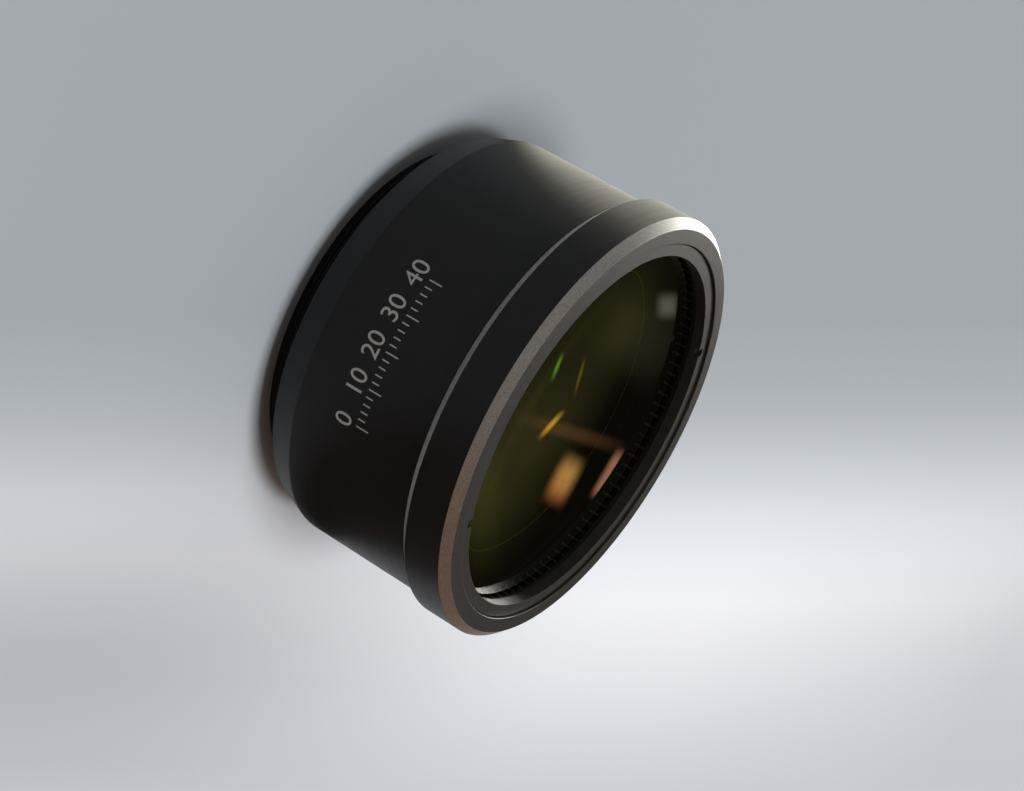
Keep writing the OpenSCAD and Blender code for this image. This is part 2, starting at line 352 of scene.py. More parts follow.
def graduation_tree():
    """Stands flat ticks round a cylinder, every so many of them long, as a scale."""
    places = ("Radius", "Height", "First angle", "Step angle")
    sizes = ("Tick width", "Short tick", "Long tick", "Thickness")
    sockets = {**dict.fromkeys((*places, *sizes), "Float"), "Count": "Int", "Long every": "Int"}
    tree, given, identifiers = geometry_tree("Graduations", {**sockets, "Material": "Material"})
    points = add(tree, "GeometryNodePoints", {"Count": given["Count"]})
    index = add(tree, "GeometryNodeInputIndex")
    steps = {0: index, 1: given["Step angle"], 2: given["First angle"]}
    angle = add(tree, "ShaderNodeMath", steps, operation="MULTIPLY_ADD")
    flat = add(tree, "ShaderNodeCombineXYZ", {0: given["Radius"], 2: given["Height"]})
    rotated = {"Vector": flat, "Angle": angle}
    place = add(tree, "ShaderNodeVectorRotate", rotated, rotation_type="Z_AXIS")
    placed = add(tree, "GeometryNodeSetPosition", {"Geometry": points, "Position": place})
    remainder = add(tree, "ShaderNodeMath", {0: index, 1: given["Long every"]}, operation="MODULO")
    is_long = add(tree, "ShaderNodeMath", {0: remainder, 1: 0.5}, operation="LESS_THAN")
    lengths = {0: is_long, 2: given["Short tick"], 3: given["Long tick"]}
    length = add(tree, "ShaderNodeMix", lengths, data_type="FLOAT")
    half = add(tree, "ShaderNodeMath", {0: length, 1: 0.5}, operation="MULTIPLY")
    lift = add(tree, "ShaderNodeCombineXYZ", {2: half})
    extents = {0: given["Thickness"], 1: given["Tick width"], 2: length}
    size = add(tree, "ShaderNodeCombineXYZ", extents)
    turn = add(tree, "ShaderNodeCombineXYZ", {2: angle})
    bar = add(tree, "GeometryNodeMeshCube", {"Size": (1.0, 1.0, 1.0)})
    stood = {"Points": placed, "Instance": bar, "Rotation": turn, "Scale": size}
    bars = add(tree, "GeometryNodeInstanceOnPoints", stood)
    moved = {"Instances": bars, "Translation": lift, "Local Space": False}
    lifted = add(tree, "GeometryNodeTranslateInstances", moved)
    close_tree(tree, lifted, given["Material"])
    return tree, identifiers


TREES = {}


def grown(name, maker, values, points=(), edges=()):
    """A plain mesh object: what the maker's Geometry Nodes tree makes of a starting mesh."""
    if maker not in TREES:
        TREES[maker] = maker()
    tree, identifiers = TREES[maker]
    start = bpy.data.meshes.new(name)
    start.from_pydata(points, edges, [])
    piece = bpy.data.objects.new(name, start)
    bpy.context.scene.collection.objects.link(piece)
    modifier = piece.modifiers.new(tree.name, "NODES")
    modifier.node_group = tree
    for socket_name, value in values.items():
        modifier[identifiers[socket_name]] = value
    evaluated = piece.evaluated_get(bpy.context.evaluated_depsgraph_get())
    result = bpy.data.meshes.new_from_object(evaluated)
    piece.modifiers.clear()
    piece.data = result
    bpy.data.meshes.remove(start)
    result.name = name
    return piece


def turned(name, outline, material, segments):
    """A solid of revolution from a closed outline, or from one that starts and ends on the axis."""
    points = [(r, 0, z) for r, z in outline]
    edges = [(i, i + 1) for i in range(len(points) - 1)]
    if min(outline[0][0], outline[-1][0]) > 0:
        edges.append((len(points) - 1, 0))
    values = {"Segments": segments, "Material": material}
    return grown(name, turned_tree, values, points, edges)


def paint_faces(piece, material, belongs):
    """Gives a second material to the faces whose middle, as (radius, height), belongs."""
    piece.data.materials.append(material)
    slot = len(piece.data.materials) - 1
    for face in piece.data.polygons:
        if belongs(*radius_and_height(face.center)):
            face.material_index = slot


def joined(name, pieces):
    """Several mesh objects as one."""
    with bpy.context.temp_override(
        active_object=pieces[0], selected_objects=pieces, selected_editable_objects=pieces
    ):
        bpy.ops.object.join()
    pieces[0].name = name
    return pieces[0]


def stand_for(piece, slot, *nodes):
    """The piece rides on the body and replaces its CAD nodes. The record slot is not used."""
    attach(piece, BODY)
    if nodes:
        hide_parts(*nodes)


def refinish(node, material):
    """Puts a material on every slot of a CAD node, whose shape stays."""
    for slot in frame["nodes"][node].material_slots:
        slot.material = material


# ---- Materials ----

# Each pattern's noise: whether it runs in rings round the axis, as a lathe tool leaves them, its
# detail and its roughness
PATTERNS = {
    "grain": (False, 2.0, 0.6),
    "specks": (False, 1.0, 0.6),
    "clouds": (False, 0.0, 0.6),
    "rings": (True, 3.0, 0.7),
}
# Nearly all of a pattern's values lie between these two.
PATTERN_LOW = 0.3
PATTERN_HIGH = 0.7


def scaled(colour, factor):
    """A colour made darker or lighter."""
    return tuple(min(1.0, c * factor) for c in colour[:3])


def surface(name, colour, roughness, **plain):
    """A material with plain values on its shader, its node tree and its shader node."""
    material = bpy.data.materials.new(name)
    material.use_nodes = True
    material.diffuse_color = opaque(colour)
    tree = material.node_tree
    shader = tree.nodes["Principled BSDF"]
    values = {name.replace("_", " "): value for name, value in plain.items()}
    feed(tree, shader, {"Base Color": opaque(colour), "Roughness": roughness, **values})
    return material, tree, shader


def pattern(tree, kind, width):
    """A random pattern in the piece's own coordinates, its lumps or rings about so many mm wide."""
    in_rings, detail, roughness = PATTERNS[kind]
    place = add(tree, "ShaderNodeTexCoord").outputs["Object"]
    if in_rings:
        x, y, z = add(tree, "ShaderNodeSeparateXYZ", {0: place}).outputs
        across = add(tree, "ShaderNodeCombineXYZ", {0: x, 1: y})
        radius = add(tree, "ShaderNodeVectorMath", {0: across}, operation="LENGTH")
        place = add(tree, "ShaderNodeCombineXYZ", {0: radius, 1: z})
    noise = {"Vector": place, "Scale": 1 / (width * MM), "Detail": detail, "Roughness": roughness}
    kind = "2D" if in_rings else "3D"
    return add(tree, "ShaderNodeTexNoise", noise, noise_dimensions=kind)


def relieve(tree, shader, kind, width, depth):
    """Raises a surface with a pattern, to a depth in mm."""
    height = {"Height": pattern(tree, kind, width), "Distance": depth * MM, "Strength": 1.0}
    feed(tree, shader, {"Normal": add(tree, "ShaderNodeBump", height)})


def patterned(name, colour, roughness, tint, rough=None, relief=None, **plain):
    """A surface whose colour, and perhaps roughness and height, wander with patterns.

    Each of the three starts with its pattern's kind and width. The tint goes on with the darkest
    and lightest share of the colour, rough with two roughnesses, and relief with its depth in mm.
    """
    material, tree, shader = surface(name, colour, roughness, **plain)
    kind, width, darkest, lightest = tint
    ramp = add(tree, "ShaderNodeValToRGB", {0: pattern(tree, kind, width)})
    dark, light = ramp.color_ramp.elements
    dark.position = PATTERN_LOW
    dark.color = opaque(scaled(colour, darkest))
    light.position = PATTERN_HIGH
    light.color = opaque(scaled(colour, lightest))
    feed(tree, shader, {"Base Color": ramp})
    if rough:
        kind, width, smoothest, roughest = rough
        source = {"Value": pattern(tree, kind, width), "From Min": PATTERN_LOW}
        ends = {"From Max": PATTERN_HIGH, "To Min": smoothest, "To Max": roughest}
        value = add(tree, "ShaderNodeMapRange", {**source, **ends})
        feed(tree, shader, {"Roughness": value})
    if relief:
        relieve(tree, shader, *relief)
    return material


def black_anodised(colours):
    """Black anodised aluminium, fine turned: dark satin, with a soft sheen and faint tool rings."""
    return patterned(
        "Black_anodised_turned",
        colours.barrel,
        roughness=0.42,
        tint=("grain", 3, 0.85, 1.15),
        rough=("rings", 0.35, 0.38, 0.46),
        relief=("grain", 0.25, 0.004),
        IOR=1.5,
        Specular_IOR_Level=0.25,
    )


def satin_face(colours):
    """Satin anodised ring and face: the same black film over a finer cut, so it mirrors more."""
    return patterned(
        "Satin_anodised_face",
        colours.face,
        roughness=0.36,
        tint=("grain", 2, 0.9, 1.1),
        rough=("rings", 0.3, 0.33, 0.4),
        relief=("rings", 0.3, 0.002),
        Metallic=0.6,
    )


def bare_chamfer(colours):
    """Bare aluminium chamfer, cut after anodising: light grey, with a sparkling open grain."""
    # Real grit of about 0.05 mm would not show, so it is drawn at 0.2 mm.
    return patterned(
        "Bare_machined_chamfer",
        colours.chamfer,
        roughness=0.5,
        tint=("specks", 0.2, 0.6, 1.4),
        rough=("specks", 0.2, 0.45, 0.6),
        relief=("specks", 0.2, 0.02),
        Metallic=1.0,
    )


def worn_edge(colours):
    """Matt black ring with a painted highlight on its outer edge: a thin light line round it."""
    material, tree, shader = surface("Matt_black_painted_glint_edge", colours.inner, roughness=0.6, IOR=1.45)
    points = frame["nodes"]["lens_3_retaining_ring"].data.vertices
    edge = max(radius_and_height(point.co)[0] for point in points) - GLINT_WIDTH
    place = add(tree, "ShaderNodeTexCoord").outputs["Object"]
    across = add(tree, "ShaderNodeVectorMath", {0: place, 1: (1, 1, 0)}, operation="MULTIPLY")
    radius = add(tree, "ShaderNodeVectorMath", {0: across}, operation="LENGTH")
    ends = {"From Min": edge - GLINT_BLUR, "From Max": edge}
    # Painted highlight: the colour turns light towards the ring's outer edge.
    bare = add(tree, "ShaderNodeMapRange", {"Value": radius, **ends})
    metal = scaled(colours.chamfer, GLINT_LIGHTER)
    both = {0: bare, 6: opaque(colours.inner), 7: opaque(metal)}
    colour = add(tree, "ShaderNodeMix", both, data_type="RGBA")
    feed(tree, shader, {"Base Color": colour})
    relieve(tree, shader, "rings", 0.3, 0.002)
    return material


def matt_black(colours):
    """Matt black inner surfaces, which swallow stray light."""
    return patterned(
        "Matt_black_inner",
        colours.inner,
        roughness=0.7,
        tint=("rings", 0.5, 0.7, 1.3),
        relief=("rings", 0.5, 0.01),
        IOR=1.45,
    )


def rubber(colours):
    """Moulded nitrile rubber: black and dull, with a fine skin."""
    return patterned(
        "Nitrile_rubber",
        colours.rubber,
        roughness=0.6,
        tint=("grain", 1, 0.8, 1.2),
        relief=("grain", 0.15, 0.006),
        IOR=1.5,
    )


def acetal(colours):
    """Machined acetal sleeve: a waxy plastic with the sheen of a cut surface."""
    return patterned(
        "Acetal_sleeve",
        colours.sleeve,
        roughness=0.45,
        tint=("grain", 0.8, 0.8, 1.2),
        relief=("rings", 0.3, 0.004),
        IOR=1.48,
    )


def washer_film(colours):
    """White PTFE film: milky and soft."""
    return patterned(
        "PTFE_film",
        colours.washer,
        roughness=0.5,
        tint=("grain", 0.6, 0.92, 1.0),
        relief=("grain", 0.2, 0.003),
        IOR=1.35,
    )


def zinc_selenide(colours):
    """Polished, antireflection coated zinc selenide: clear amber, a weak mirror of the room."""
    # The real index is 2.4. One of 1.5 mirrors as little as the coated surfaces do. The coating's
    # thickness wanders a little, and with it the tint.
    return patterned(
        "Zinc_selenide_coated",
        colours.glass,
        roughness=0.0,
        tint=("clouds", 25, 0.97, 1.03),
        IOR=1.5,
        Transmission_Weight=1.0,
    )


def ground_rim(colours):
    """Fine-ground and blackened lens rim: matt, so it throws no stray light back."""
    return patterned(
        "Ground_blackened_rim",
        colours.rim,
        roughness=0.6,
        tint=("grain", 0.3, 0.8, 1.2),
        relief=("grain", 0.1, 0.003),
        IOR=1.5,
    )


def sleeved_rim(colours):
    """Ground rim inside the sleeve: black on the sleeve's lands, with painted light over its open
    grooves.
    """
    plain = {"roughness": 0.6, "Specular_IOR_Level": 0.0}
    material, tree, shader = surface("Ground_rim_painted_groove_light", colours.rim, **plain)
    rim, _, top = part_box("lens_4")[1]
    place = add(tree, "ShaderNodeTexCoord").outputs["Object"]
    x, y, z = add(tree, "ShaderNodeSeparateXYZ", {0: place}).outputs
    angle = add(tree, "ShaderNodeMath", {0: y, 1: x}, operation="ARCTAN2")
    pitch = 2 * math.pi / SLEEVE_GROOVES
    half_groove = SLEEVE_GROOVE_WIDTH / 2 / rim
    blur = GROOVE_BLUR * half_groove
    edge = pitch / 2 - half_groove
    ends = {"From Min": edge - blur, "From Max": edge + blur}
    marks = []
    # The angle is wrapped to one pitch, and a groove's middle is half a pitch from its middle.
    for shift in (0.0, pitch / 2):
        past = add(tree, "ShaderNodeMath", {0: angle, 1: shift - SLEEVE_PHASE}, operation="ADD")
        wrapped = add(tree, "ShaderNodeMath", {0: past, 1: pitch}, operation="FLOORED_MODULO")
        offset = add(tree, "ShaderNodeMath", {0: wrapped, 1: pitch / 2}, operation="SUBTRACT")
        away = add(tree, "ShaderNodeMath", {0: offset}, operation="ABSOLUTE")
        marks.append(add(tree, "ShaderNodeMapRange", {"Value": away, **ends}))
    short_top = top - SLEEVE_SHORTENING
    ends = {"From Min": short_top + GROOVE_END_BLUR, "From Max": short_top}
    below = add(tree, "ShaderNodeMapRange", {"Value": z, **ends})
    short = add(tree, "ShaderNodeMath", {0: marks[1], 1: below}, operation="MULTIPLY")
    groove_light_mask = add(tree, "ShaderNodeMath", {0: marks[0], 1: short}, operation="MAXIMUM")
    # Painted light: the rim is lighter where the sleeve's grooves lie.
    both = {0: groove_light_mask, 6: opaque(colours.rim), 7: opaque(colours.groove)}
    colour = add(tree, "ShaderNodeMix", both, data_type="RGBA")
    feed(tree, shader, {"Base Color": colour})
    return material


def marking(colours):
    """Laser marking: the anodic film bleached to a light, dull grey."""
    return patterned(
        "Laser_marking",
        colours.marking,
        roughness=0.6,
        tint=("grain", 0.2, 0.85, 1.1),
        relief=("grain", 0.1, 0.004),
        IOR=1.45,
    )


FINISHES = {
    "anodised": black_anodised,
    "face": satin_face,
    "chamfer": bare_chamfer,
    "painted glint edge": worn_edge,
    "inner": matt_black,
    "rubber": rubber,
    "sleeve": acetal,
    "washer": washer_film,
    "glass": zinc_selenide,
    "rim": ground_rim,
    "rim with painted light over grooves": sleeved_rim,
    "marking": marking,
}
MATERIALS = {}


def finish(name):
    """The material of that finish, made the first time that it is asked for."""
    if name not in MATERIALS:
        MATERIALS[name] = FINISHES[name](bpy.context.scene.scan_lens_colours)
    return MATERIALS[name]


# ---- Settings ----


def colour_property(name, description, hex_colour):
    """A colour that the user can change."""
    return FloatVectorProperty(
        name=name,
        description=description,
        default=linear(hex_colour),
        subtype="COLOR",
        min=0.0,
        max=1.0,
    )


def length_property(name, description, millimetres):
    """A length that the user can change."""
    return FloatProperty(
        name=name,
        description=description,
        default=millimetres * MM,
        min=0.0,
        precision=5,
        unit="LENGTH",
        subtype="DISTANCE",
    )


class ScanLensSizes(bpy.types.PropertyGroup):
    """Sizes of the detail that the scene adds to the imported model."""

    segments: IntProperty(
        name="Segments", description="Faces round each turned part", default=256, min=32
    )
    surface_rings: IntProperty(
        name="Surface rings",
        description="Faces from a lens's middle to its margin",
        default=24,
        min=4,
    )
    edge_break: length_property("Edge break", "Rounding of the barrel's machined edges", 0.2)
    cell_edge_break: length_property("Cell edge break", "Rounding of the front cell's edges", 0.12)
    lens_chamfer: length_property("Lens chamfer", "Protective chamfer on each lens's rim", 0.3)
    thread_pitch: length_property("Thread pitch", "Pitch of the mounting thread", 1.0)
    thread_depth: length_property("Thread depth", "Depth of the mounting thread", 0.5)
    thread_runout: length_property("Thread run-out", "Plain neck between thread and shoulder", 0.7)
    number_height: length_property("Number height", "Height of the scale's numbers", 4.2)
    tick_width: length_property("Tick width", "Width of the scale's ticks", 0.3)
    short_tick: length_property("Short tick", "Length of the short ticks", 1.8)
    long_tick: length_property("Long tick", "Length of the long ticks", 3.2)
    marking_thickness: length_property("Marking", "How far the marking stands proud", 0.045)


class ScanLensColours(bpy.types.PropertyGroup):
    """Colours of the finishes."""

    barrel: colour_property("Barrel", "Black anodic film on the housing", "#100e0d")
    face: colour_property("Front face", "Satin film on the front face and the rings", "#3a3836")
    chamfer: colour_property("Chamfers", "Bare aluminium of the cut chamfers", "#b2aea8")
    inner: colour_property("Inside", "Matt black of the inner surfaces", "#141312")
    rubber: colour_property("Rubber", "Gasket and O-ring", "#131212")
    sleeve: colour_property("Sleeve", "Acetal of the centring sleeve", "#2a2618")
    washer: colour_property("Washers", "Film between lens and metal", "#e6e2d8")
    glass: colour_property("Glass", "Tint of the zinc selenide", "#c0b458")
    rim: colour_property("Lens rims", "Blackened ground rims of the lenses", "#0c0b08")
    # Painted light that the front lens's rim shows over the sleeve's grooves
    groove: colour_property("Grooves", "Lens rim over the sleeve's grooves", "#7c7e20")
    marking: colour_property("Marking", "Bleached laser marking", "#8f8b86")
    floor: colour_property("Floor", "The studio floor near the fan's centre", "#b8bbbf")


class ScanLensStudio(bpy.types.PropertyGroup):
    """The studio's light."""

    world: FloatProperty(
        name="Room light", description="Strength of the even room light", default=0.4
    )
    key: FloatProperty(name="Key lamp", description="Strength of the soft main lamp", default=2.55)
    metal_cards: FloatProperty(
        name="Metal cards", description="Glow of the cards that the metal mirrors", default=1.0
    )
    glass_cards: FloatProperty(
        name="Glass cards", description="Glow of the cards that the front lens mirrors", default=1.0
    )


# ---- Operators ----


class SCANLENS_OT_barrel(bpy.types.Operator):
    """Build the barrel with its tapered shoulder and mounting thread"""

    bl_idname = "scanlens.barrel"
    bl_label = "Barrel"

    def execute(self, context):
        sizes = context.scene.scan_lens_sizes
        thread = next(m for m in frame["record"]["mounts"] if m["name"] == "mount_thread")
        major = thread["dims"]["r_mm"] * MM
        outline = corners_of("barrel")
        shoulder = min(z for r, z in outline if r > major + SAME)
        root = major - sizes.thread_depth
        cut = [
            (root, z) if abs(r - major) < SAME and z < shoulder + SAME else (r, z)
            for r, z in outline
        ]
        rounded = eased(cut, sizes.edge_break)
        barrel = turned("barrel_turned", rounded, finish("anodised"), sizes.segments)
        first = min(z for r, z in cut if abs(r - root) < SAME)
        length = shoulder - sizes.thread_runout - first - sizes.thread_pitch
        turns = length / sizes.thread_pitch
        values = {
            "Root radius": root,
            "Depth": sizes.thread_depth,
            "Pitch": sizes.thread_pitch,
            "Turns": turns,
            "Start": first + sizes.thread_pitch / 2,
            "Steps": round(turns * sizes.segments / 2),
            "Material": finish("anodised"),
        }
        ridge = grown("mount_thread_ridge", thread_tree, values)
        edge = root - BLACK_WITHIN
        paint_faces(barrel, finish("inner"), lambda r, z: r < edge and z > BLACK_ABOVE)
        barrel = joined("barrel_turned", [barrel, ridge])
        stand_for(barrel, "black_anodised", "barrel")
        return {"FINISHED"}


def figure(number, height, proud, radius, angle):
    """A number laid round a cylinder, its top towards the mount, standing a little proud of it."""
    text = bpy.data.curves.new(f"figure_{number}", "FONT")
    text.body = str(number)
    text.size = height / FIGURE_SHARE
    text.align_x = "CENTER"
    text.extrude = proud
    flat = bpy.data.objects.new(text.name, text)
    bpy.context.scene.collection.objects.link(flat)
    evaluated = flat.evaluated_get(bpy.context.evaluated_depsgraph_get())
    mesh = bpy.data.meshes.new_from_object(evaluated)
    bpy.data.objects.remove(flat)
    shell = bmesh.new()
    shell.from_mesh(mesh)
    bmesh.ops.remove_doubles(shell, verts=shell.verts, dist=WELD)
    for vertex in shell.verts:
        x, y, z = vertex.co
        turn = angle - x / radius
        out = radius + z
        vertex.co = (out * math.cos(turn), out * math.sin(turn), SCALE_NUMBER_HEIGHT - y)
    shell.to_mesh(mesh)
    shell.free()
    mesh.materials.clear()
    mesh.materials.append(finish("marking"))
    piece = bpy.data.objects.new(text.name, mesh)
    bpy.context.scene.collection.objects.link(piece)
    return piece


class SCANLENS_OT_scale(bpy.types.Operator):
    """Mark the clocking scale, in degrees, round the barrel"""

    bl_idname = "scanlens.scale"
    bl_label = "Clocking scale"

    def execute(self, context):
        sizes = context.scene.scan_lens_sizes
        radius = max(r for r, z in corners_of("barrel"))
        proud = sizes.marking_thickness
        values = {
            "Radius": radius,
            "Height": SCALE_TICK_HEIGHT,
            "First angle": SCALE_ZERO,
            "Step angle": -math.radians(SCALE_TICK_STEP),
            "Count": SCALE_END // SCALE_TICK_STEP + 1,
            "Long every": SCALE_NUMBER_STEP // SCALE_TICK_STEP,
            "Tick width": sizes.tick_width,
            "Short tick": sizes.short_tick,
            "Long tick": sizes.long_tick,
            "Thickness": 2 * proud,
            "Material": finish("marking"),
        }
        marks = [grown("clocking_scale", graduation_tree, values)]
        for number in range(0, SCALE_END + 1, SCALE_NUMBER_STEP):
            angle = SCALE_ZERO - math.radians(number)
            marks.append(figure(number, sizes.number_height, proud, radius, angle))
        scale = joined("clocking_scale", marks)
        stand_for(scale, "black_anodised")
        return {"FINISHED"}


class SCANLENS_OT_front_cell(bpy.types.Operator):
    """Build the front cell with its bare chamfers and satin face"""

    bl_idname = "scanlens.front_cell"
    bl_label = "Front cell"

    def execute(self, context):
        sizes = context.scene.scan_lens_sizes
        outline = corners_of("front_cell")
        rounded = eased(outline, sizes.cell_edge_break)
        cell = turned("front_cell_turned", rounded, finish("anodised"), sizes.segments)
        flange = max(r for r, z in outline)
        top = max(z for r, z in outline)
        face_edge = max(r for r, z in outline if z > top - SAME)
        bore = min(r for r, z in outline if z > top - SAME)
        band = [z for r, z in outline if r > flange - SAME]
        low, high = min(band), max(band)
        lowest = low - (flange - face_edge)

        def is_chamfer(r, z):
            return r > face_edge and (z > high + SAME or lowest - SAME < z < low - SAME)

        def is_face(r, z):
            return bore - FACE_OVERLAP < r < face_edge and z > high - SAME

        paint_faces(cell, finish("chamfer"), is_chamfer)
        paint_faces(cell, finish("face"), is_face)
        paint_faces(cell, finish("inner"), lambda r, z: r < bore - BORE_SKIN)
        stand_for(cell, "cell_anodised", "front_cell")
        return {"FINISHED"}


class SCANLENS_OT_retaining_rings(bpy.types.Operator):
    """Finish the three notched retaining rings"""

    bl_idname = "scanlens.retaining_rings"
    bl_label = "Retaining rings"

    def execute(self, context):
        for node in ("front_retaining_ring", "lens_1_retaining_ring"):
            refinish(node, finish("face"))
        # Lens 3's ring has a painted highlight on its outer edge.
        refinish("lens_3_retaining_ring", finish("painted glint edge"))
        return {"FINISHED"}


class SCANLENS_OT_lenses(bpy.types.Operator):
    """Build the four polished zinc selenide lenses"""

    bl_idname = "scanlens.lenses"
    bl_label = "Lenses"

    def execute(self, context):
        sizes = context.scene.scan_lens_sizes
        for number in (1, 2, 3, 4):
            node = f"lens_{number}"
            outline = lens_outline(node, sizes.lens_chamfer, sizes.surface_rings)
            lens = turned(f"{node}_polished", outline, finish("glass"), sizes.segments)
            rim, clear, _, _, rear, front = lens_values(node)
            edge = rim - RIM_CHAMFERS * sizes.lens_chamfer
            # The front lens's rim has painted light over the sleeve's grooves.
            ground = finish("rim with painted light over grooves" if number == 4 else "rim")
            paint_faces(lens, ground, lambda r, z: r > edge)
            if number == 4:
                middle = (rear + front) / 2
                seat = clear - SEAT_OVERLAP
                paint_faces(lens, finish("rim"), lambda r, z: seat < r < edge and z < middle)
            stand_for(lens, "zinc_selenide", node)
        return {"FINISHED"}


class SCANLENS_OT_seals(bpy.types.Operator):
    """Finish the gasket, O-ring and washers"""

    bl_idname = "scanlens.seals"
    bl_label = "Seals and washers"

    def execute(self, context):
        for node in ("front_gasket", "cell_o_ring"):
            refinish(node, finish("rubber"))
        for node in frame["nodes"]:
            if node.endswith("washer"):
                refinish(node, finish("washer"))
        return {"FINISHED"}


class SCANLENS_OT_inner_parts(bpy.types.Operator):
    """Finish the glare stop, the spacer and the centring sleeve"""

    bl_idname = "scanlens.inner_parts"
    bl_label = "Stop, spacer and sleeve"

    def execute(self, context):
        refinish("glare_stop", finish("inner"))
        refinish("spacer_2_3", finish("inner"))
        refinish("centring_sleeve", finish("sleeve"))
        return {"FINISHED"}


class SCANLENS_OT_studio(bpy.types.Operator):
    """Lay the floor, hang the lamps and set up the camera"""

    bl_idname = "scanlens.studio"
    bl_label = "Studio"

    def execute(self, context):
        lay_floor(context.scene)
        light_room(context.scene)
        hang_key(context.scene)
        hang_cards(context.scene)
        place_camera(context.scene)
        return {"FINISHED"}


# ---- Studio ----

FLOOR_REACH = 4.0

# The camera looks along one direction, with the right edge of its view along another.
CAMERA_PLACE = (0.0, -0.49803, 0.25552)
CAMERA_FORWARD = (0.0031972, 0.915217, -0.40295)
CAMERA_RIGHT = (-0.50558, 0.34914, 0.78898)
CAMERA_LENS_MM = 85.61

# The floor's painted light and shade change with the bearing from one point on it, in degrees from
# +Y towards -X.
FAN_CENTRE = (0.164, -0.611, 0.0)
FAN_BEARINGS = (3.0, 15.0)
# Close to the fan's centre the tones would meet in a point, so the floor is plain up to here.
FAN_STARTS = (0.35, 0.5)
# Distances from the fan's centre over which the pool of light rises and falls, and what is left
POOL_RISES = (0.55, 0.86)
POOL_FALLS = (0.95, 1.45)
POOL_LEFT = 0.4
# Painted light and shade along the bearings, with a painted shadow: each tone with its place
# between the two, outside and inside the pool
PAINTED_SHADE_STOPS = (
    (0.0, "#c5c9cd"),
    (0.10, "#bcc0c4"),
    (0.27, "#b8b9bd"),
    (0.35, "#babbbf"),
    (0.43, "#c1c2c6"),
    (0.52, "#ccccd0"),
    (0.60, "#cecfd3"),
    (0.66, "#cccdd1"),
    (0.73, "#bfc3c6"),
    (0.80, "#b5b9bd"),
    (0.87, "#adb2b6"),
    (1.0, "#a4a9ad"),
)
POOL_STOPS = (
    (0.0, "#c8cccf"),
    (0.14, "#d8d9dd"),
    (0.27, "#e6e6ea"),
    (0.43, "#f4f4f7"),
    (0.52, "#eeeff3"),
    (0.60, "#e4e5e9"),
    (0.68, "#d1d5d8"),
    (0.80, "#b7bbbf"),
    (0.87, "#adb2b6"),
    (1.0, "#a4a9ad"),
)
LENS_MIDDLE = Vector((0, 0, 0.05))

# The room is cool on the left and warm on the right, and turns from one to the other
# between these two values of a direction's X.
ROOM_COLOURS = ("#e6e8e8", "#c89878")
ROOM_TURN = (-0.2, 0.8)

# The main lamp: its azimuth from +Y towards +X and its elevation, its distance, the angle over
# which it spreads, and its colour: a touch of blue, as of daylight, against the room's warm side
KEY_BEARING = (math.radians(180), math.radians(72))
KEY_DISTANCE = 3.0
KEY_SPREAD = math.radians(25)
KEY_COLOUR = "#f5fafe"


def lay_floor(scene):
    """A pale floor under the lens, with a soft pool of light and a fan of light and shade, with a
    shadow, painted on it.
    """
    mesh = bpy.data.meshes.new("floor")
    edge = FLOOR_REACH
    corners = [(-edge, -edge, 0), (edge, -edge, 0), (edge, edge, 0), (-edge, edge, 0)]
    mesh.from_pydata(corners, [], [(0, 1, 2, 3)])
    floor = bpy.data.objects.new("floor", mesh)
    scene.collection.objects.link(floor)
    plain = scene.scan_lens_colours.floor
    dull = {"roughness": 0.9, "Specular_IOR_Level": 0.0}
    material, tree, shader = surface("Studio_floor", plain, **dull)
    place = add(tree, "ShaderNodeTexCoord").outputs["Object"]
    offset = add(tree, "ShaderNodeVectorMath", {0: place, 1: FAN_CENTRE}, operation="SUBTRACT")
    distance = add(tree, "ShaderNodeVectorMath", {0: offset}, operation="LENGTH")
    x, y, _ = add(tree, "ShaderNodeSeparateXYZ", {0: offset}).outputs
    leftward = add(tree, "ShaderNodeMath", {0: x, 1: -1.0}, operation="MULTIPLY")
    bearing = add(tree, "ShaderNodeMath", {0: leftward, 1: y}, operation="ARCTAN2")
    first, last = (math.radians(angle) for angle in FAN_BEARINGS)
    share = add(tree, "ShaderNodeMapRange", {"Value": bearing, "From Min": first, "From Max": last})
    ramps = []
    for stops in (PAINTED_SHADE_STOPS, POOL_STOPS):
        ramp = add(tree, "ShaderNodeValToRGB", {0: share})
        elements = ramp.color_ramp.elements
        for position, colour in stops[1:-1]:
            elements.new(position)
        for element, (position, colour) in zip(elements, stops):
            element.position = position
            element.color = opaque(linear(colour))
        ramps.append(ramp)
    levels = []
    for (near, far), after, ease in (
        (POOL_RISES, (0.0, 1.0), "SMOOTHSTEP"),
        (POOL_FALLS, (1.0, POOL_LEFT), "LINEAR"),
        (FAN_STARTS, (0.0, 1.0), "SMOOTHSTEP"),
    ):
        ends = {"From Min": near, "From Max": far, "To Min": after[0], "To Max": after[1]}
        level = {"Value": distance, **ends}
        levels.append(add(tree, "ShaderNodeMapRange", level, interpolation_type=ease))
    rise, fall, away = levels
    inside = add(tree, "ShaderNodeMath", {0: rise, 1: fall}, operation="MULTIPLY")
    painted = add(tree, "ShaderNodeMix", {0: inside, 6: ramps[0], 7: ramps[1]}, data_type="RGBA")
    colour = add(tree, "ShaderNodeMix", {0: away, 6: opaque(plain), 7: painted}, data_type="RGBA")
    feed(tree, shader, {"Base Color": colour})
    mesh.materials.append(material)


def light_room(scene):
    """Even light from all round, warmer from the right."""
    world = bpy.data.worlds.new("Room")
    world.use_nodes = True
    tree = world.node_tree
    background = tree.nodes["Background"]
    direction = add(tree, "ShaderNodeTexCoord").outputs["Generated"]
    rightward = add(tree, "ShaderNodeSeparateXYZ", {0: direction})
    left, right = ROOM_TURN
    turn = {"Value": rightward, "From Min": left, "From Max": right}
    share = add(tree, "ShaderNodeMapRange", turn)
    ramp = add(tree, "ShaderNodeValToRGB", {0: share})
    for element, colour in zip(ramp.color_ramp.elements, ROOM_COLOURS):
        element.color = opaque(linear(colour))
    feed(tree, background, {"Color": ramp, "Strength": scene.scan_lens_studio.world})
    scene.world = world


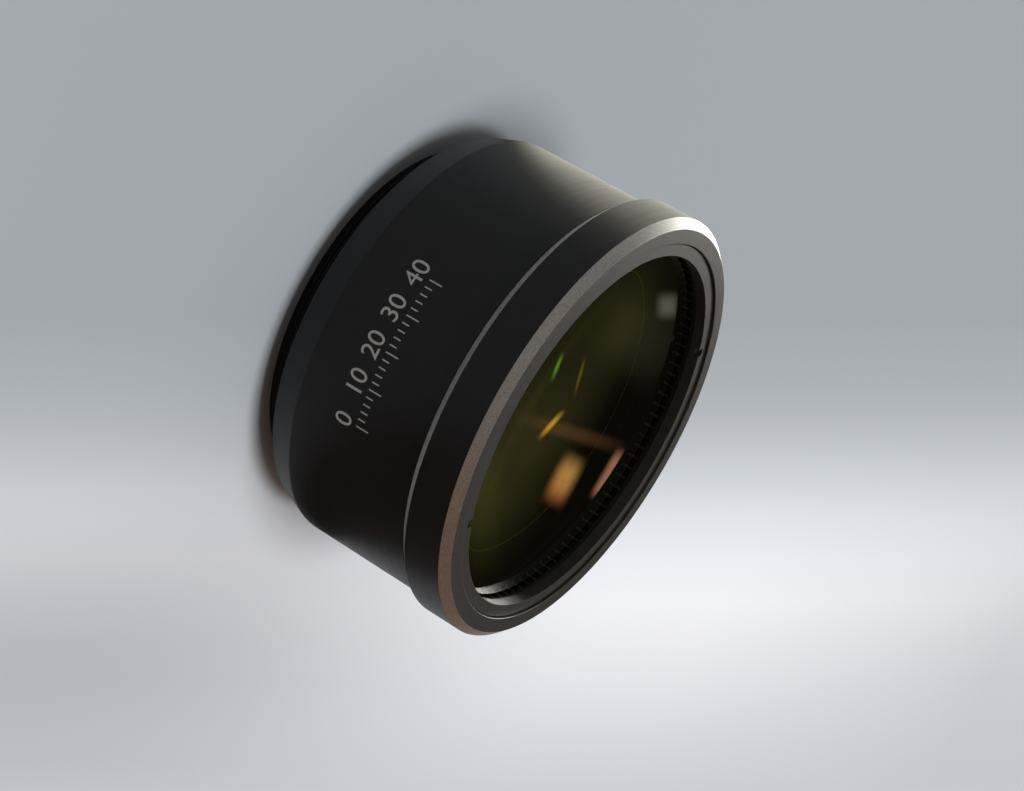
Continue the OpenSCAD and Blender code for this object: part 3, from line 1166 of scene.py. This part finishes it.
def hang_key(scene):
    """The main lamp: soft, far off, and as strong all over the floor."""
    azimuth, elevation = KEY_BEARING
    across = math.cos(elevation)
    direction = (math.sin(azimuth) * across, math.cos(azimuth) * across, math.sin(elevation))
    place = Vector(direction) * KEY_DISTANCE
    light = bpy.data.lights.new("key_lamp", "SUN")
    light.angle = KEY_SPREAD
    light.energy = scene.scan_lens_studio.key
    light.color = linear(KEY_COLOUR)
    lamp = bpy.data.objects.new("key_lamp", light)
    lamp.location = place
    lamp.rotation_euler = (LENS_MIDDLE - place).to_track_quat("-Z", "Y").to_euler()
    # It gives no glare on the metal or in the glass, whose gleams come from the room and the cards.
    lamp.visible_glossy = False
    lamp.visible_transmission = False
    scene.collection.objects.link(lamp)


def hang_card(scene, name, place, facing, size, roll, colours, glow, softness, see_through=False):
    """A glowing card that shows only as a gleam in what is polished, with soft edges.

    Its colour runs from the first of the two to the second along its width.
    """
    mesh = bpy.data.meshes.new(name)
    x, y = size[0] / 2, size[1] / 2
    mesh.from_pydata([(-x, -y, 0), (x, -y, 0), (x, y, 0), (-x, y, 0)], [], [(0, 1, 2, 3)])
    card = bpy.data.objects.new(name, mesh)
    card.location = place
    turned_to = facing.to_track_quat("Z", "Y") @ Quaternion((0, 0, 1), math.radians(roll))
    card.rotation_euler = turned_to.to_euler()
    first, second = (opaque(linear(colour)) for colour in colours)
    material, tree, _ = surface(name, first, roughness=1.0)
    place = add(tree, "ShaderNodeTexCoord").outputs["Object"]
    parts = add(tree, "ShaderNodeSeparateXYZ", {0: place}).outputs
    share = add(tree, "ShaderNodeMapRange", {"Value": parts[0], "From Min": -x, "From Max": x})
    mixed = add(tree, "ShaderNodeMix", {0: share, 6: first, 7: second}, data_type="RGBA")
    level = glow
    for part, half in zip(parts, (x, y)):
        distance = add(tree, "ShaderNodeMath", {0: part}, operation="ABSOLUTE")
        ends = {"From Min": half * (1 - softness), "From Max": half, "To Min": 1.0, "To Max": 0.0}
        border = {"Value": distance, **ends}
        fade = add(tree, "ShaderNodeMapRange", border, interpolation_type="SMOOTHSTEP")
        level = add(tree, "ShaderNodeMath", {0: level, 1: fade}, operation="MULTIPLY")
    shown = add(tree, "ShaderNodeEmission", {"Color": mixed, "Strength": level})
    if see_through:
        clear = add(tree, "ShaderNodeBsdfTransparent")
        shown = add(tree, "ShaderNodeAddShader", {0: shown, 1: clear})
    output = next(n for n in tree.nodes if n.type == "OUTPUT_MATERIAL")
    feed(tree, output, {"Surface": shown})
    mesh.materials.append(material)
    card.visible_camera = False
    card.visible_diffuse = False
    card.visible_transmission = False
    card.visible_shadow = False
    scene.collection.objects.link(card)
    return card


# Cards whose gleams show in the metal: their middles and sizes in metres, the way they face, their
# colours, glow and softness
TOWARDS_LENS = Vector((0.53, -0.85, 0.0))
UPWARDS = Vector((0, 0, 1))
FRONTWARDS = Vector((0, -1, 0))
METAL_CARDS = {
    "side_card": ((-0.63, 1.0, 0.13), (0.5, 0.2), TOWARDS_LENS, "#f8faf4", 36.0, 0.5),
    "tall_card": ((-0.68, 1.45, 0.72), (0.8, 0.5), FRONTWARDS, "#f4f2e8", 21.0, 0.3),
    "left_floor_card": ((-0.24, 0.156, 0.001), (0.4, 0.32), UPWARDS, "#f4f2e0", 2.6, 0.15),
    "right_floor_card": ((0.26, -0.12, 0.001), (0.4, 0.3), UPWARDS, "#4c3a2c", 2.2, 0.3),
}

# Small upright cards that the flat front of the lens mirrors to the camera: their middles (across,
# up) and sizes in millimetres, their rolls in degrees, and their colours, glow and softness. Each
# hangs a step behind the one before, so that no two overlap in one plane.
MIRRORED_PLANE = 1.5
CARD_STEP = 0.5 * MM
GLASS_CARDS = {
    "amber_card": ((48, 647), (58, 29), -3, ("#dcbc60", "#d87844"), 3.3, 0.85),
    "pink_card": ((24, 610), (58, 22), 0, ("#e09878", "#e09878"), 2.2, 0.6),
    "brown_card": ((9, 665), (20, 130), -13, ("#c08850", "#c08850"), 0.5, 0.9),
    "grey_card": ((-131, 646), (32, 28), -29, ("#d8d4b8", "#d8d4b8"), 0.75, 0.9),
    "green_card": ((-35, 708), (32, 5), -9, ("#80e020", "#50b020"), 2.4, 0.9),
    "gold_card": ((12, 685), (40, 7), 12, ("#f0d040", "#f0a030"), 3.0, 0.9),
    "thread_card": ((-38, 685), (44, 4), -16, ("#e0b840", "#c09030"), 0.9, 0.9),
    "left_veil": ((65, 705), (210, 130), 0, ("#a8a058", "#a8a058"), 0.36, 0.9),
    "edge_veil": ((85, 725), (240, 70), -32, ("#a0a048", "#a0a048"), 0.3, 0.9),
    "right_veil": ((-95, 655), (100, 110), 0, ("#a8a070", "#a8a070"), 0.22, 0.9),
    "wide_veil": ((-65, 700), (270, 120), 0, ("#a8a05c", "#a8a05c"), 0.22, 0.7),
}

# Two dark screens keep the room's light out of the front lens: the flag is what its polish
# mirrors behind the cards, and the shade is what shows through it. Each has its distance behind
# the plane, its middle's height and its size in metres.
SCREENS = {"flag": (0.05, 0.43, (0.5, 0.84)), "shade": (0.06, 1.6, (5.0, 3.4))}
SCREEN_COLOURS = ("#201e18", "#201e18")
SCREEN_GLOW = 1.0
SCREEN_SOFTNESS = 0.1


def hang_cards(scene):
    """The cards whose gleams show in the metal and the glass, and the two dark screens."""
    studio = scene.scan_lens_studio
    for name, (place, size, facing, colour, glow, softness) in METAL_CARDS.items():
        level = glow * studio.metal_cards
        hang_card(scene, name, Vector(place), facing, size, 0, (colour, colour), level, softness)
    for order, (name, card) in enumerate(GLASS_CARDS.items()):
        (across, up), size, roll, colours, glow, softness = card
        place = Vector((across * MM, MIRRORED_PLANE + order * CARD_STEP, up * MM))
        size = (size[0] * MM, size[1] * MM)
        level = glow * studio.glass_cards
        hang_card(scene, name, place, FRONTWARDS, size, roll, colours, level, softness, True)
    dark = (SCREEN_COLOURS, SCREEN_GLOW, SCREEN_SOFTNESS)
    for name, (behind, up, size) in SCREENS.items():
        place = Vector((0, MIRRORED_PLANE + behind, up))
        screen = hang_card(scene, name, place, FRONTWARDS, size, 0, *dark)
        screen.visible_glossy = name == "flag"
        screen.visible_transmission = name == "shade"


def place_camera(scene):
    """The camera, from the side and turned about its own axis."""
    forward = Vector(CAMERA_FORWARD).normalized()
    right = Vector(CAMERA_RIGHT)
    right = (right - forward * right.dot(forward)).normalized()
    up = right.cross(forward)
    camera_data = bpy.data.cameras.new("camera")
    camera_data.lens = CAMERA_LENS_MM
    camera = bpy.data.objects.new("camera", camera_data)
    rotation = Matrix((right, up, -forward)).transposed()
    camera.matrix_world = Matrix.Translation(CAMERA_PLACE) @ rotation.to_4x4()
    scene.collection.objects.link(camera)
    scene.camera = camera
    scene.view_settings.view_transform = "Standard"


# ---- Add-on ----

STEPS = (
    SCANLENS_OT_barrel,
    SCANLENS_OT_scale,
    SCANLENS_OT_front_cell,
    SCANLENS_OT_retaining_rings,
    SCANLENS_OT_lenses,
    SCANLENS_OT_seals,
    SCANLENS_OT_inner_parts,
    SCANLENS_OT_studio,
)


class SCANLENS_PT_panel(bpy.types.Panel):
    """Lists the steps that build the scan lens"""

    bl_idname = "SCANLENS_PT_panel"
    bl_label = "Scan lens"
    bl_space_type = "VIEW_3D"
    bl_region_type = "UI"
    bl_category = "Scan lens"

    def draw(self, context):
        column = self.layout.column(align=True)
        for step in STEPS:
            column.operator(step.bl_idname)
        for group in (
            context.scene.scan_lens_sizes,
            context.scene.scan_lens_colours,
            context.scene.scan_lens_studio,
        ):
            box = self.layout.box()
            for name in group.bl_rna.properties.keys():
                if name not in ("rna_type", "name"):
                    box.prop(group, name)


CLASSES = (ScanLensSizes, ScanLensColours, ScanLensStudio, *STEPS, SCANLENS_PT_panel)


def register():
    for cls in CLASSES:
        bpy.utils.register_class(cls)
    bpy.types.Scene.scan_lens_sizes = PointerProperty(type=ScanLensSizes)
    bpy.types.Scene.scan_lens_colours = PointerProperty(type=ScanLensColours)
    bpy.types.Scene.scan_lens_studio = PointerProperty(type=ScanLensStudio)


def unregister():
    del bpy.types.Scene.scan_lens_studio
    del bpy.types.Scene.scan_lens_colours
    del bpy.types.Scene.scan_lens_sizes
    for cls in reversed(CLASSES):
        bpy.utils.unregister_class(cls)


def main():
    """Registers the add-on and builds everything."""
    register()
    for step in STEPS:
        group, name = step.bl_idname.split(".")
        getattr(getattr(bpy.ops, group), name)()


if __name__ == "__main__":
    main()
